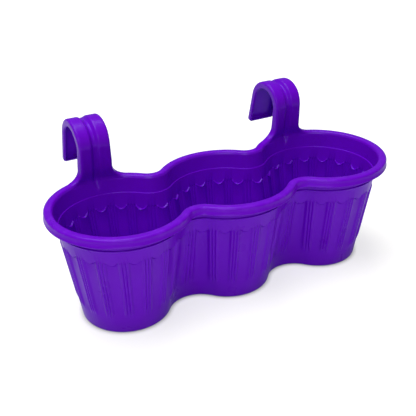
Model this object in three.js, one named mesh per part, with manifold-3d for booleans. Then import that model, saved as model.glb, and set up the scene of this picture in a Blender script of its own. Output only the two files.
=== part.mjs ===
// A balcony rail planter: three tapered round bowls moulded as one trough, with two hooks that hang it
// on a rail. A drainage grid and a drain plug lie loose in each bowl.
// Millimetres, +Z up, the hooks at the back (+Y).
import * as THREE from "three";
import { mergeVertices } from "three/addons/utils/BufferGeometryUtils.js";
import Module from "manifold-3d";

const wasm = await Module();
wasm.setup();

// Trough
const bowlSpacing = 188; // between the centres of neighbouring bowls
const rimHeight = 187;
const rimRadius = 114; // the rim's outer edge round a bowl
const rimNeckFillet = 21.5; // the same edge where two bowls meet
const endFullness = 0.98; // the end bowls are a little flattened lengthwise
const baseRadius = 71.5;
const baseNeckWidth = 54; // across the waist between two bowls, at the base
const baseCorner = 7;
const wallThickness = 2.4;
const floorThickness = 2.6;
const footHeight = 3; // the floor's underside stands this far off the ground
const footWidth = 5;

// Rim
const lipWidth = 14;
const lipThickness = 2.8;
const lipInnerRounding = 4;
const lipOuterRounding = 4;
const skirtDepth = 15.5;
const skirtThickness = 2.3;
const collarStep = 1; // the collar stands out this far, from the ledge inside and the ridge outside
const ledgeDrop = 28; // from the rim's top down to the ledge inside
const ridgeDrop = 20; // and down to the ridge outside

// Flutes: smooth panels pressed in from outside, with scalloped tops
const fluteCount = 41;
const fluteStart = 0.22; // shift along the wall, in flutes
const panelShare = 0.5; // a panel's share of the pitch
const panelEdgeShare = 0.035;
const panelDepth = 1.2;
const panelBottom = 28;
const panelFade = 15;
const panelTop = 137.5;
const scallopDrop = 5;

// Hooks
const hookWidth = 54;
const hookRise = 94.5; // from the rim's top to the crown
const hookSpan = 79; // across the crown, outside
const hookInset = 3; // its middle is this much nearer the planter's middle than its bowl's is
const hookSetback = 5; // the flat arm stands this far in front of the bowl's back
const hookFillet = 20; // where the rim sweeps up into the hook
const hookTipDepth = 10.5; // width of the side flanges at the tip
const hookTipLift = 8; // the tip ends this far above the rim
const hookTipCorner = 5;
const hookFlare = 15; // degrees that the tip leg opens by
const hookBead = 0.8; // turned edge of the side flanges
const grooveHalfWidth = 8;
const grooveDepth = 4.5;
const grooveStart = 22; // below the rim's top
const grooveEnd = 30; // past the crown's middle, along the hook
const grooveFade = 16;

// Loose pieces in each bowl
const drainHoleRadius = 9;
const runningGap = 0.3;
const plugFlangeLap = 4; // over the floor, all round the hole
const plugFlangeThickness = 2;
const plugLength = 3.5; // of the stem below the flange
const plugTabWidth = 12;
const plugTabHeight = 8;
const plugTabThickness = 3;
const gridClearance = 4; // all round, to the bowl's wall
const gridThickness = 2.2;
const gridRimDepth = 4;
const gridLegHeight = 10;
const gridLegRadius = 3.5;
const gridLegCount = 4;
const fingerRoom = 5; // round the plug, in the hole through which a finger lifts the grid
const gridSlotCount = 12;
const gridSlotWidth = 5;
const gridSlotMargin = 10; // left plain at both ends of a slot

// How finely round stretches are cut
const cornerSteps = 3;
const roundingSteps = 2;
const filletSteps = 6;
const crownSteps = 10;
const tipSteps = 2;
const rimColumnCount = 99; // all round the rim, apart from those across the hooks
const turnSteps = 16;

const lerp = THREE.MathUtils.lerp;
const radians = THREE.MathUtils.degToRad;

// Plan of the trough. Every level is nine arcs: the bowls' outsides and the necks' fillets between them,
// anticlockwise from the right end. A place along it is the arc's number plus the share of that arc.
const halfSpacing = bowlSpacing / 2;
const baseWaist = baseNeckWidth / 2;
const baseNeckFillet =
  (baseWaist ** 2 + halfSpacing ** 2 - baseRadius ** 2) / (2 * (baseRadius - baseWaist));
const collarRadius = rimRadius - lipWidth; // inner surface at the rim
const wallTopRadius = collarRadius + wallThickness - collarStep;
const wallTopFillet = rimNeckFillet + rimRadius - wallTopRadius;
const wallTaper = (wallTopRadius - baseRadius) / rimHeight;

function wallLevel(z, outwards) {
  const share = z / rimHeight;
  const radius = lerp(baseRadius, wallTopRadius, share) + outwards;
  const fillet = lerp(baseNeckFillet, wallTopFillet, share) - outwards;
  return { radius, fillet };
}

function rimLevel(outwards) {
  return { radius: collarRadius + outwards, fillet: rimNeckFillet + lipWidth - outwards };
}

function planArcs({ radius, fillet }) {
  const neckY = Math.sqrt((radius + fillet) ** 2 - halfSpacing ** 2);
  const turn = Math.atan2(neckY, halfSpacing);
  const bowl = (x, from, to) => ({ x, y: 0, radius, from, to });
  const neck = (x, side) => ({
    x,
    y: side * neckY,
    radius: fillet,
    from: side > 0 ? -turn : Math.PI - turn,
    to: side > 0 ? turn - Math.PI : turn,
  });
  return [
    bowl(bowlSpacing, 0, Math.PI - turn),
    neck(halfSpacing, 1),
    bowl(0, turn, Math.PI - turn),
    neck(-halfSpacing, 1),
    bowl(-bowlSpacing, turn, 2 * Math.PI - turn),
    neck(-halfSpacing, -1),
    bowl(0, Math.PI + turn, 2 * Math.PI - turn),
    neck(halfSpacing, -1),
    bowl(bowlSpacing, Math.PI + turn, 2 * Math.PI),
  ];
}

function planPoint(arcs, place) {
  const index = Math.min(Math.floor(place), arcs.length - 1);
  const arc = arcs[index];
  const angle = lerp(arc.from, arc.to, place - index);
  const x = arc.x + arc.radius * Math.cos(angle);
  const y = arc.y + arc.radius * Math.sin(angle);
  const past = Math.abs(x) - bowlSpacing;
  return [past > 0 ? Math.sign(x) * (bowlSpacing + past * endFullness) : x, y];
}

// Places spaced evenly along a level's length.
function evenPlaces(level, shares) {
  const arcs = planArcs(level);
  const steps = 200;
  const places = [0];
  const lengths = [0];
  for (let i = 1; i <= arcs.length * steps; i += 1) {
    const place = i / steps;
    const [x0, y0] = planPoint(arcs, places[i - 1]);
    const [x1, y1] = planPoint(arcs, place);
    places.push(place);
    lengths.push(lengths[i - 1] + Math.hypot(x1 - x0, y1 - y0));
  }
  const whole = lengths[lengths.length - 1];
  return shares.map((share) => {
    const wanted = (share - Math.floor(share)) * whole;
    let i = lengths.findIndex((length) => length > wanted);
    if (i < 1) i = lengths.length - 1;
    return lerp(places[i - 1], places[i], (wanted - lengths[i - 1]) / (lengths[i] - lengths[i - 1]));
  });
}

// Columns of the fluted wall: each flute's two panel edges, and the panel between them.
// Plain columns run the whole height, and the scalloped ones only along the panel's curved top.
const panelHalf = panelShare / 2;
const fluteProfile = [
  { at: -panelHalf - panelEdgeShare, depth: 0, plain: true },
  { at: -panelHalf, depth: 1 },
  { at: -panelHalf / 2, depth: 1, scalloped: true },
  { at: 0, depth: 1, scalloped: true },
  { at: panelHalf / 2, depth: 1, scalloped: true },
  { at: panelHalf, depth: 1 },
  { at: panelHalf + panelEdgeShare, depth: 0, plain: true },
];

function fluteColumns() {
  const columns = [];
  for (let flute = 0; flute < fluteCount; flute += 1) {
    fluteProfile.forEach((column) => {
      columns.push({ ...column, share: (flute + fluteStart + column.at) / fluteCount });
    });
  }
  const level = wallLevel(panelTop, 0);
  const places = evenPlaces(level, columns.map((column) => column.share));
  columns.forEach((column, i) => {
    column.place = places[i];
    const across = Math.min(1, Math.abs(column.at) / panelHalf);
    column.drop = scallopDrop * (1 - across * across);
  });
  return columns.sort((a, b) => a.place - b.place);
}

// One mesh holds the whole moulding.
// A row is a closed ring of vertices, each with its place along the plan.
const vertices = [];
const triangles = [];

function addVertex(point) {
  vertices.push(...point);
  return vertices.length / 3 - 1;
}

function addFace(a, b, c) {
  if (a !== b && b !== c && c !== a) triangles.push(a, b, c);
}

function addStrip(first, second) {
  for (let i = 0; i + 1 < first.length; i += 1) {
    addFace(first[i], first[i + 1], second[i + 1]);
    addFace(first[i], second[i + 1], second[i]);
  }
}

// Joins two rings whose places needn't be the same.
function addBand(first, second) {
  const next = (row, i) => (i + 1 < row.length ? row[i + 1].place : row[0].place + 9);
  const id = (row, i) => row[i % row.length].id;
  let i = 0;
  let j = 0;
  while (i < first.length || j < second.length) {
    const step = j >= second.length || (i < first.length && next(first, i) <= next(second, j));
    if (step) {
      addFace(id(first, i), id(first, i + 1), id(second, j));
      i += 1;
    } else {
      addFace(id(first, i), id(second, j + 1), id(second, j));
      j += 1;
    }
  }
}

function addCap(row, facesUp) {
  const outline = row.map(({ id }) => new THREE.Vector2(vertices[3 * id], vertices[3 * id + 1]));
  THREE.ShapeUtils.triangulateShape(outline, []).forEach(([a, b, c]) => {
    if (facesUp) addFace(row[a].id, row[b].id, row[c].id);
    else addFace(row[a].id, row[c].id, row[b].id);
  });
}

const scallopColumns = fluteColumns();
const panelColumns = scallopColumns.filter((column) => !column.scalloped);
const plainColumns = scallopColumns.filter((column) => column.plain);

// A ring of the wall. Both its faces follow the panels, so that the wall stays as thick as elsewhere.
function wallRow(z, outwards, columns = plainColumns, { sunk = false, scalloped = false } = {}) {
  return columns.map((column) => {
    const height = z - (scalloped ? column.drop : 0);
    const level = wallLevel(height, outwards - (sunk ? column.depth * panelDepth : 0));
    const [x, y] = planPoint(planArcs(level), column.place);
    return { place: column.place, id: addVertex([x, y, height]) };
  });
}

// A hook in its own plan: x across it, and the way along it, which is the height up to the crown.
const crownRadius = hookSpan / 2;
const crownHeight = rimHeight + hookRise - crownRadius;
const crownTurn = Math.PI - radians(hookFlare);
const crownEnd = crownHeight + crownRadius * crownTurn;
const tipLegTop = crownHeight + crownRadius * Math.sin(crownTurn);
const tipEnd = crownEnd + (tipLegTop - rimHeight - hookTipLift) / Math.cos(radians(hookFlare));
const filletTop = rimHeight + hookFillet;
const grooveStop = crownHeight + (crownRadius * Math.PI) / 2 + grooveEnd;
const join = hookTipCorner; // the rim's section reaches this far down the skin

function hookPath(along, tapered) {
  const armY = collarRadius - hookSetback * THREE.MathUtils.smoothstep(along, rimHeight - join, filletTop);
  if (along <= crownHeight) {
    const inset = tapered ? wallTaper * Math.max(0, rimHeight - along) : 0;
    return { y: armY - inset, z: along, turn: 0 };
  }
  const turn = Math.min((along - crownHeight) / crownRadius, crownTurn);
  const past = Math.max(0, along - crownEnd);
  return {
    y: armY + crownRadius * (1 - Math.cos(turn)) + past * Math.sin(turn),
    z: crownHeight + crownRadius * Math.sin(turn) + past * Math.cos(turn),
    turn,
  };
}

// The bowl's back wall at x from the hook's middle: the angle round the bowl, how far the wall
// has fallen away from flat there, and its normal's angle.
function bowlCurve(x, side) {
  const fromBowl = x - side * hookInset;
  const squash = fromBowl * side > 0 ? endFullness : 1;
  const angle = Math.asin(THREE.MathUtils.clamp(fromBowl / squash / collarRadius, -1, 1));
  return {
    fromBowl,
    angle,
    sag: collarRadius * (1 - Math.cos(angle)),
    lean: Math.atan2(Math.sin(angle), squash * Math.cos(angle)),
  };
}

// A point of the hook: x across, along it, and inwards from its outer face.
// The arm starts out curved as the bowl is.
function hookPoint(side, x, along, inwards, tapered) {
  const path = hookPath(along, tapered);
  const curved = 1 - THREE.MathUtils.smoothstep(along, filletTop, crownHeight + crownRadius / 2);
  const { fromBowl, sag, lean } = bowlCurve(x, side);
  const depth = inwards * Math.cos(lean * curved) - sag * curved;
  return [
    side * bowlSpacing + fromBowl + inwards * Math.sin(lean * curved),
    path.y + depth * Math.cos(path.turn),
    path.z - depth * Math.sin(path.turn),
  ];
}

function grooveAt(x, along) {
  const across = Math.max(0, 1 - (x / grooveHalfWidth) ** 2);
  const foot = rimHeight - grooveStart;
  const rise = THREE.MathUtils.smoothstep(along, foot, foot + grooveFade);
  const fall = 1 - THREE.MathUtils.smoothstep(along, grooveStop - grooveFade, grooveStop);
  return grooveDepth * across * rise * fall;
}

// The rim's section, from the inner face over the lip and down the skirt to the outer face.
// inwards is counted from the inner face, and up from the lip's top.
function rimSection(width, skirt) {
  const outerRounding = Math.min(lipOuterRounding, 0.6 * skirt);
  const section = [{ inwards: 0, up: -join, onFace: true }];
  for (let i = 0; i <= roundingSteps; i += 1) {
    const angle = (i / roundingSteps) * (Math.PI / 2);
    section.push({
      inwards: lipInnerRounding * (1 - Math.cos(angle)),
      up: lipInnerRounding * (Math.sin(angle) - 1),
      onFace: i === 0,
    });
  }
  for (let i = 0; i <= roundingSteps; i += 1) {
    const angle = (i / roundingSteps) * (Math.PI / 2);
    section.push({
      inwards: width - outerRounding * (1 - Math.sin(angle)),
      up: -outerRounding * (1 - Math.cos(angle)),
    });
  }
  section.push({ inwards: width, up: -skirt });
  section.push({ inwards: width - skirtThickness, up: -skirt });
  section.push({ inwards: width - skirtThickness, up: -lipThickness });
  section.push({ inwards: wallThickness, up: -lipThickness, onFace: true });
  section.push({ inwards: wallThickness, up: -join, onFace: true });
  return section;
}

// Places of the columns across a hook's foot, from its right end to its left.
const footHalf = hookWidth / 2 + hookFillet;
const middleColumns = [1, 0.5, 0, -0.5, -1].map((share) => share * grooveHalfWidth);
const stretchShares = [1, 0.5];

function hookColumns(halfWidth) {
  const stretched = stretchShares.map((share) => lerp(grooveHalfWidth, halfWidth, share));
  return [...stretched, ...middleColumns, ...stretched.map((x) => -x).reverse()];
}

function hookPlace(side, x) {
  const angle = Math.PI / 2 - bowlCurve(x, side).angle;
  const index = side > 0 ? 0 : 4;
  const arc = planArcs(rimLevel(0))[index];
  return index + (angle - arc.from) / (arc.to - arc.from);
}

function rimColumns() {
  const shares = Array.from({ length: rimColumnCount }, (_, i) => i / rimColumnCount);
  const whole = evenPlaces(rimLevel(0), shares);
  const columns = [];
  const margin = 0.02;
  const zones = [1, -1].map((side) => [hookPlace(side, footHalf), hookPlace(side, -footHalf)]);
  whole.forEach((place) => {
    const clear = zones.every(([from, to]) => place < from - margin || place > to + margin);
    if (clear) columns.push({ place });
  });
  [1, -1].forEach((side) => {
    hookColumns(footHalf).forEach((x) => columns.push({ place: hookPlace(side, x), side, x }));
  });
  return columns.sort((a, b) => a.place - b.place);
}

const aroundRim = rimColumns();

// A ring of the collar, with the groove's foot pressed into it behind each hook.
function collarRow(z, outwards) {
  const arcs = planArcs(wallLevel(z, outwards));
  return aroundRim.map((column) => {
    const [x, y] = planPoint(arcs, column.place);
    const pressed = column.side ? grooveAt(column.x, z) : 0;
    return { place: column.place, id: addVertex([x, y + pressed, z]), column };
  });
}

const innerCollar = collarStep - wallThickness;
const floorTop = footHeight + floorThickness;
const innerCorner = baseCorner - wallThickness;

// The rows below the rim outside, from the floor's underside up.
function outerRows() {
  const footInner = -baseCorner - footWidth;
  const rows = [wallRow(footHeight, footInner), wallRow(0, footInner)];
  for (let i = 0; i <= cornerSteps; i += 1) {
    const angle = (i / cornerSteps) * (Math.PI / 2);
    rows.push(wallRow(baseCorner * (1 - Math.cos(angle)), baseCorner * (Math.sin(angle) - 1)));
  }
  rows.push(wallRow(panelBottom, 0));
  rows.push(wallRow(panelBottom + panelFade, 0, panelColumns, { sunk: true }));
  rows.push(wallRow(panelTop - panelDepth / 2, 0, scallopColumns, { sunk: true, scalloped: true }));
  rows.push(wallRow(panelTop + panelDepth / 2, 0, scallopColumns, { scalloped: true }));
  rows.push(wallRow(rimHeight - ridgeDrop - collarStep, 0));
  rows.push(collarRow(rimHeight - ridgeDrop, collarStep));
  rows.push(collarRow(rimHeight - join, collarStep));
  return rows;
}

// The rows below the rim inside, from the collar down to the floor.
function innerRows() {
  const rows = [
    collarRow(rimHeight - join, innerCollar),
    collarRow(rimHeight - grooveStart + grooveFade / 2, innerCollar),
    collarRow(rimHeight - ledgeDrop + collarStep, innerCollar),
    wallRow(rimHeight - ledgeDrop, -wallThickness),
    wallRow(panelTop + panelDepth / 2, -wallThickness, scallopColumns, { scalloped: true }),
    wallRow(panelTop - panelDepth / 2, -wallThickness, scallopColumns, { sunk: true, scalloped: true }),
    wallRow(panelBottom + panelFade, -wallThickness, panelColumns, { sunk: true }),
    wallRow(panelBottom, -wallThickness),
  ];
  for (let i = cornerSteps; i >= 0; i -= 1) {
    const angle = (i / cornerSteps) * (Math.PI / 2);
    const inset = -wallThickness - innerCorner * (1 - Math.sin(angle));
    rows.push(wallRow(floorTop + innerCorner * (1 - Math.cos(angle)), inset));
  }
  return rows;
}

// Sweeps the rim's section from one station to the next. Each station lists the section's vertices.
function sweep(stations) {
  for (let i = 0; i + 1 < stations.length; i += 1) {
    const here = stations[i];
    const there = stations[i + 1];
    for (let k = 0; k + 1 < here.length; k += 1) {
      addFace(here[k + 1], there[k + 1], there[k]);
      addFace(here[k + 1], there[k], here[k]);
    }
  }
}

function plainStation(column, innerId, outerId) {
  const section = rimSection(lipWidth, skirtDepth);
  return section.map((point, k) => {
    if (k === 0) return innerId;
    if (k === section.length - 1) return outerId;
    const z = rimHeight + point.up;
    const level = point.onFace ? wallLevel(z, innerCollar + point.inwards) : rimLevel(point.inwards);
    return addVertex([...planPoint(planArcs(level), column.place), z]);
  });
}

// Stations up one side of a hook, each a rule that gives the place of a point
// at a distance up from the edge.
function sideStations(way) {
  const stations = [];
  for (let i = 1; i <= filletSteps; i += 1) {
    const angle = (i / filletSteps) * (Math.PI / 2);
    stations.push({
      skirt: lerp(skirtDepth, lipThickness + hookBead, Math.sin(angle)),
      place: (up) => [
        way * (footHalf - (hookFillet - up) * Math.sin(angle)),
        filletTop - (hookFillet - up) * Math.cos(angle),
      ],
    });
  }
  const straight = [];
  const cornerStart = tipEnd - hookTipCorner;
  for (let i = 0; i <= crownSteps; i += 1) straight.push(lerp(crownHeight, crownEnd, i / crownSteps));
  for (let i = 1; i <= tipSteps; i += 1) straight.push(lerp(crownEnd, cornerStart, i / tipSteps));
  straight.forEach((along) => {
    stations.push({ skirt: lipThickness + hookBead, place: (up) => [way * (hookWidth / 2 + up), along] });
  });
  return stations;
}

function cornerStations(way) {
  return [0.5, 1].map((share) => {
    const angle = (share * Math.PI) / 2;
    return {
      skirt: lipThickness + hookBead,
      place: (up) => [
        way * (hookWidth / 2 - hookTipCorner + (hookTipCorner + up) * Math.cos(angle)),
        tipEnd - hookTipCorner + (hookTipCorner + up) * Math.sin(angle),
      ],
    };
  });
}

function hookStation(side, rule, innerId, outerId) {
  const along = rule.place(0)[1];
  const share = THREE.MathUtils.clamp((along - filletTop) / (tipEnd - filletTop), 0, 1);
  const width = lerp(lipWidth, hookTipDepth, share);
  const section = rimSection(width, rule.skirt);
  return section.map((point, k) => {
    if (k === 0 && innerId !== undefined) return innerId;
    if (k === section.length - 1 && outerId !== undefined) return outerId;
    const [x, reach] = rule.place(point.up);
    return addVertex(hookPoint(side, x, reach, point.inwards, point.onFace));
  });
}

// One hook: the rim's section runs up its right side, round its tip and down its left side,
// and the skin between the two sides is a sheet of rows.
function addHook(side, innerFoot, outerFoot, footStations) {
  const rightRules = sideStations(1);
  const leftRules = sideStations(-1);
  const right = rightRules.map((rule) => hookStation(side, rule));
  const left = leftRules.map((rule) => hookStation(side, rule));
  const last = right[0].length - 1;
  const innerRowsUp = [innerFoot];
  const outerRowsUp = [outerFoot];
  rightRules.forEach((rule, i) => {
    const [halfWidth, along] = rule.place(-join);
    const inside = hookColumns(halfWidth).slice(1, -1);
    const skin = (inwards) =>
      inside.map((x) => addVertex(hookPoint(side, x, along, inwards + grooveAt(x, along), true)));
    const inner = skin(0);
    const outer = skin(wallThickness);
    innerRowsUp.push([right[i][0], ...inner, left[i][0]]);
    outerRowsUp.push([right[i][last], ...outer, left[i][last]]);
  });
  for (let i = 0; i + 1 < innerRowsUp.length; i += 1) {
    addStrip(innerRowsUp[i + 1], innerRowsUp[i]);
    addStrip(outerRowsUp[i], outerRowsUp[i + 1]);
  }
  const innerEnd = innerRowsUp[innerRowsUp.length - 1];
  const outerEnd = outerRowsUp[outerRowsUp.length - 1];
  const endX = hookColumns(hookWidth / 2 - join).slice(1, -1);
  const tip = endX.map((x, i) => {
    const rule = { skirt: lipThickness + hookBead, place: (up) => [x, tipEnd + up] };
    return hookStation(side, rule, innerEnd[i + 1], outerEnd[i + 1]);
  });
  const corner = (way, end) =>
    cornerStations(way).map((rule) => hookStation(side, rule, innerEnd[end], outerEnd[end]));
  const rightCorner = corner(1, 0);
  const leftCorner = corner(-1, innerEnd.length - 1);
  const upAndOver = [footStations[0], ...right, ...rightCorner, ...tip];
  sweep([...upAndOver, ...leftCorner.reverse(), ...left.reverse(), footStations[1]]);
}

function rimAndHooks(outerTop, innerTop) {
  const stations = innerTop.map(({ column, id }, i) => {
    const inHook = column.side && Math.abs(column.x) < footHalf - 1e-6;
    return inHook ? null : plainStation(column, id, outerTop[i].id);
  });
  const count = stations.length;
  for (let i = 0; i < count; i += 1) {
    const j = (i + 1) % count;
    if (stations[i] && stations[j]) sweep([stations[i], stations[j]]);
  }
  [1, -1].forEach((side) => {
    const foot = innerTop.map((_, i) => i).filter((i) => innerTop[i].column.side === side);
    const ends = [stations[foot[0]], stations[foot[foot.length - 1]]];
    addHook(side, foot.map((i) => innerTop[i].id), foot.map((i) => outerTop[i].id), ends);
  });
}

function solidOf(geometry) {
  const bare = geometry.clone();
  bare.deleteAttribute("normal");
  bare.deleteAttribute("uv");
  const merged = mergeVertices(bare, 1e-4);
  return new wasm.Manifold(
    new wasm.Mesh({
      numProp: 3,
      vertProperties: new Float32Array(merged.attributes.position.array),
      triVerts: new Uint32Array(merged.index.array),
    }),
  );
}

function geometryOf(solid) {
  const mesh = solid.getMesh();
  const geometry = new THREE.BufferGeometry();
  geometry.setAttribute("position", new THREE.BufferAttribute(mesh.vertProperties, 3));
  geometry.setIndex(new THREE.BufferAttribute(mesh.triVerts, 1));
  geometry.computeVertexNormals();
  return geometry;
}

function cylinder(radius, bottom, top, x = 0, y = 0) {
  const geometry = new THREE.CylinderGeometry(radius, radius, top - bottom, turnSteps);
  geometry.rotateX(Math.PI / 2);
  geometry.translate(x, y, (bottom + top) / 2);
  return solidOf(geometry);
}

// The trough, its rim and the hooks are one moulding.
function planterBody() {
  const outer = outerRows();
  const inner = innerRows();
  addCap(outer[0], false);
  for (let i = 0; i + 1 < outer.length; i += 1) addBand(outer[i], outer[i + 1]);
  rimAndHooks(outer[outer.length - 1], inner[0]);
  for (let i = 0; i + 1 < inner.length; i += 1) addBand(inner[i], inner[i + 1]);
  addCap(inner[inner.length - 1], true);
  const geometry = new THREE.BufferGeometry();
  geometry.setAttribute("position", new THREE.Float32BufferAttribute(vertices, 3));
  geometry.setIndex(triangles);
  let body = solidOf(geometry);
  [-1, 0, 1].forEach((bowl) => {
    body = body.subtract(cylinder(drainHoleRadius, 0, floorTop + 1, bowl * bowlSpacing));
  });
  return geometryOf(body);
}

const plugFlangeRadius = drainHoleRadius + plugFlangeLap;

// A stopper: its flange lies on the bowl's floor, its stem fills the drain hole,
// and a tab stands up to pull it by.
function drainPlug() {
  const stemRadius = drainHoleRadius - runningGap;
  const chamfer = 0.8;
  const profile = [
    [0, -plugLength],
    [stemRadius - chamfer, -plugLength],
    [stemRadius, chamfer - plugLength],
    [stemRadius, 0],
    [plugFlangeRadius, 0],
    [plugFlangeRadius, plugFlangeThickness - chamfer],
    [plugFlangeRadius - chamfer, plugFlangeThickness],
    [0, plugFlangeThickness],
  ].map(([x, y]) => new THREE.Vector2(x, y));
  const turned = new THREE.LatheGeometry(profile, turnSteps);
  turned.rotateX(Math.PI / 2);
  const outline = new THREE.Shape();
  outline.moveTo(-plugTabWidth / 2, 0);
  outline.lineTo(plugTabWidth / 2, 0);
  outline.lineTo(plugTabWidth / 2, plugTabHeight - plugTabWidth / 2);
  outline.absarc(0, plugTabHeight - plugTabWidth / 2, plugTabWidth / 2, 0, Math.PI, false);
  const thick = { depth: plugTabThickness, bevelEnabled: false, curveSegments: 6 };
  const tab = new THREE.ExtrudeGeometry(outline, thick);
  tab.rotateX(Math.PI / 2);
  tab.translate(0, plugTabThickness / 2, plugFlangeThickness - 1);
  return geometryOf(solidOf(turned).add(solidOf(tab)));
}

// The grid's underside stands on its legs, and its rim hangs below that.
const gridUnderside = floorTop + runningGap + gridLegHeight;
const gridRimFoot = gridUnderside + gridThickness - gridRimDepth;
const gridRadius = endFullness * wallLevel(gridRimFoot, -wallThickness).radius - gridClearance;
const gridFingerHole = plugFlangeRadius + fingerRoom;
const gridSlotInner = gridFingerHole + gridSlotMargin;
const gridSlotOuter = gridRadius - gridSlotMargin;

// A false floor on short legs: radial slots let the water through,
// and the plug passes through the hole in its middle.
function drainGrid() {
  const profile = [
    [gridFingerHole, 0],
    [gridRadius - gridThickness, 0],
    [gridRadius - gridThickness, gridThickness - gridRimDepth],
    [gridRadius, gridThickness - gridRimDepth],
    [gridRadius, gridThickness - 1],
    [gridRadius - 1, gridThickness],
    [gridFingerHole, gridThickness],
    [gridFingerHole, 0],
  ].map(([x, y]) => new THREE.Vector2(x, y));
  const disc = new THREE.LatheGeometry(profile, 2 * turnSteps);
  disc.rotateX(Math.PI / 2);
  let grid = solidOf(disc);
  const slot = new THREE.Shape();
  const half = gridSlotWidth / 2;
  slot.absarc(gridSlotOuter - half, 0, half, -Math.PI / 2, Math.PI / 2, false);
  slot.absarc(gridSlotInner + half, 0, half, Math.PI / 2, (3 * Math.PI) / 2, false);
  const thick = { depth: 3 * gridThickness, bevelEnabled: false, curveSegments: 3 };
  for (let i = 0; i < gridSlotCount; i += 1) {
    const cut = new THREE.ExtrudeGeometry(slot, thick);
    cut.translate(0, 0, -gridThickness);
    cut.rotateZ(((i + 0.5) / gridSlotCount) * 2 * Math.PI);
    grid = grid.subtract(solidOf(cut));
  }
  const legReach = (gridSlotOuter + gridRadius - gridThickness) / 2;
  const legTop = gridThickness / 2;
  for (let i = 0; i < gridLegCount; i += 1) {
    const angle = (i / gridLegCount) * 2 * Math.PI;
    const leg = new THREE.CylinderGeometry(gridLegRadius, gridLegRadius, gridLegHeight + legTop, 8);
    leg.rotateX(Math.PI / 2);
    leg.translate(legReach * Math.cos(angle), legReach * Math.sin(angle), (legTop - gridLegHeight) / 2);
    grid = grid.add(solidOf(leg));
  }
  return geometryOf(grid);
}

const violetPlastic = { color: 0x6a1fc4, roughness: 0.35, metalness: 0 };
const plugPlastic = { color: 0x2a2a2e, roughness: 0.6, metalness: 0 };

function addMesh(group, name, geometry, finish, x, z) {
  const mesh = new THREE.Mesh(geometry, new THREE.MeshStandardMaterial(finish));
  mesh.name = name;
  mesh.position.set(x, 0, z);
  group.add(mesh);
}

const planter = new THREE.Group();
addMesh(planter, "planter_body", planterBody(), violetPlastic, 0, 0);
const plug = drainPlug();
const grid = drainGrid();
["left", "middle", "right"].forEach((bowl, i) => {
  const x = (i - 1) * bowlSpacing;
  addMesh(planter, "drain_grid_" + bowl, grid, violetPlastic, x, gridUnderside);
  addMesh(planter, "drain_plug_" + bowl, plug, plugPlastic, x, floorTop + runningGap);
});

// The part's origin is the middle of its footprint, on the ground.
const extent = new THREE.Box3().setFromObject(planter);
const middle = extent.getCenter(new THREE.Vector3());
planter.position.set(-middle.x, -middle.y, -extent.min.z);

export default planter;
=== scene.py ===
import math

import bpy
import numpy as np
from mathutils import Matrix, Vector
from mathutils.geometry import tessellate_polygon


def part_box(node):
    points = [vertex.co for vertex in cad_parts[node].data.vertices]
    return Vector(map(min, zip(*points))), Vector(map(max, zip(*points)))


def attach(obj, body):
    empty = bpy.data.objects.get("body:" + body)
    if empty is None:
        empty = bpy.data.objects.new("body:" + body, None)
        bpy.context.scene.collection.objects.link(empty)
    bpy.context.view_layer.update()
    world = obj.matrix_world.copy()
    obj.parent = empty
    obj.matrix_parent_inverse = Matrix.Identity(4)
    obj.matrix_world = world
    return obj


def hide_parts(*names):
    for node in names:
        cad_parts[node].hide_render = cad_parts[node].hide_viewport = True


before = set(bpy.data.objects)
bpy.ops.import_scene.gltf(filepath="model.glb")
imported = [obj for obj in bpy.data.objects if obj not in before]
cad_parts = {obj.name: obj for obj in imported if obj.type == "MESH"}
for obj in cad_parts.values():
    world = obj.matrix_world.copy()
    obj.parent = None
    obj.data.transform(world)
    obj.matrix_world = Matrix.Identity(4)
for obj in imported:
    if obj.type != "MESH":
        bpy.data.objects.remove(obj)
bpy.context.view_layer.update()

mm = 0.001

# Everything is laid out round the middle bowl's axis, on which the middle plug stands.
plugLow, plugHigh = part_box("drain_plug_middle")
bowlAxis = np.array([(plugLow.x + plugHigh.x) / 2, (plugLow.y + plugHigh.y) / 2, 0.0])
bowlNames = ["left", "middle", "right"]


def smoothStep(value, low, high):
    share = np.clip((value - low) / (high - low), 0.0, 1.0)
    return share * share * (3 - 2 * share)


def addNode(tree, kind, sockets=None, **settings):
    node = tree.nodes.new(kind)
    for name, value in settings.items():
        setattr(node, name, value)
    for key, value in (sockets or {}).items():
        if isinstance(value, bpy.types.NodeSocket):
            tree.links.new(value, node.inputs[key])
        else:
            node.inputs[key].default_value = value
    return node


def calc(tree, operation, *values, **settings):
    # The result of a math node on these values.
    sockets = dict(enumerate(values))
    return addNode(tree, "ShaderNodeMath", sockets, operation=operation, **settings).outputs[0]


def remap(tree, value, low, high, atLow, atHigh, way="SMOOTHSTEP"):
    # Goes from atLow to atHigh while the value goes from low to high.
    sockets = {"Value": value, "From Min": low, "From Max": high, "To Min": atLow, "To Max": atHigh}
    return addNode(tree, "ShaderNodeMapRange", sockets, interpolation_type=way).outputs["Result"]


def emptyTree(owner):
    owner.use_nodes = True
    owner.node_tree.nodes.clear()
    return owner.node_tree


def addObject(name, data):
    added = bpy.data.objects.new(name, data)
    bpy.context.collection.objects.link(added)
    return added


def linearColour(hexCode):
    channels = [int(hexCode[i:i + 2], 16) / 255 for i in (1, 3, 5)]
    linear = [c / 12.92 if c <= 0.04045 else ((c + 0.055) / 1.055) ** 2.4 for c in channels]
    return (*linear, 1.0)


# Materials
print("materials")

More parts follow.
